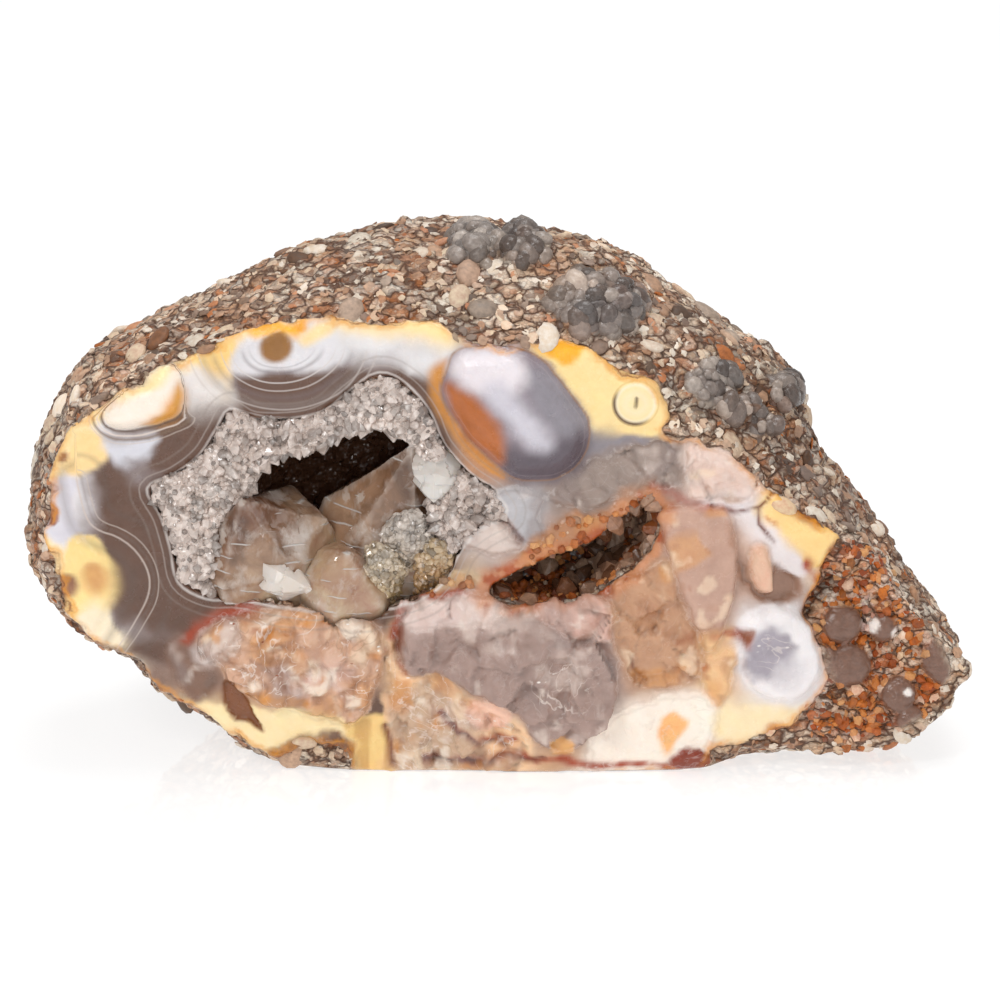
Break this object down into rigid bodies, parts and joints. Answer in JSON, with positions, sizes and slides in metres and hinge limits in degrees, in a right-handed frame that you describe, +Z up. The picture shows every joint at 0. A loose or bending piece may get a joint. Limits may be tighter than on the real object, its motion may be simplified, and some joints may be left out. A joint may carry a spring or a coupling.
{
  "type": "geode half",
  "caption": "Broken half of an agate geode with a rough rind, a banded agate wall and a hollow lined with quartz crystals; stands on its flat worn foot.",
  "frame": {"origin": "centre of the bounding box, on the surface the stone stands on", "axes": "+X runs along the length of the broken face, seen from the front from its blunt agate end to its pointed rusty end; the broken face looks towards -Y; +Z is up"},
  "size_m": [0.0958, 0.0404, 0.0535],
  "materials": {
    "stone": "rough pebbly rind outside, glossy banded grey, cream and rusty chalcedony on the broken face",
    "quartz_lining": "sparkling small clear quartz points",
    "smoky_quartz": "glossy smoky quartz with fine growth lines",
    "clear_quartz": "glossy clear quartz with milky flaws"
  },
  "bodies": {
    "root": {"stone": "stone", "quartz_lining": "quartz_lining", "smoky_crystal_left": "smoky_quartz", "smoky_crystal_right": "smoky_quartz", "smoky_crystal_side": "smoky_quartz", "smoky_crystal_low": "smoky_quartz", "clear_crystal_sill": "clear_quartz", "clear_crystal_tall": "clear_quartz", "clear_crystal_short": "clear_quartz", "clear_crystal_squat": "clear_quartz", "roof_crystal_wide": "clear_quartz", "roof_crystal_narrow": "clear_quartz"}
  },
  "joints": []
}
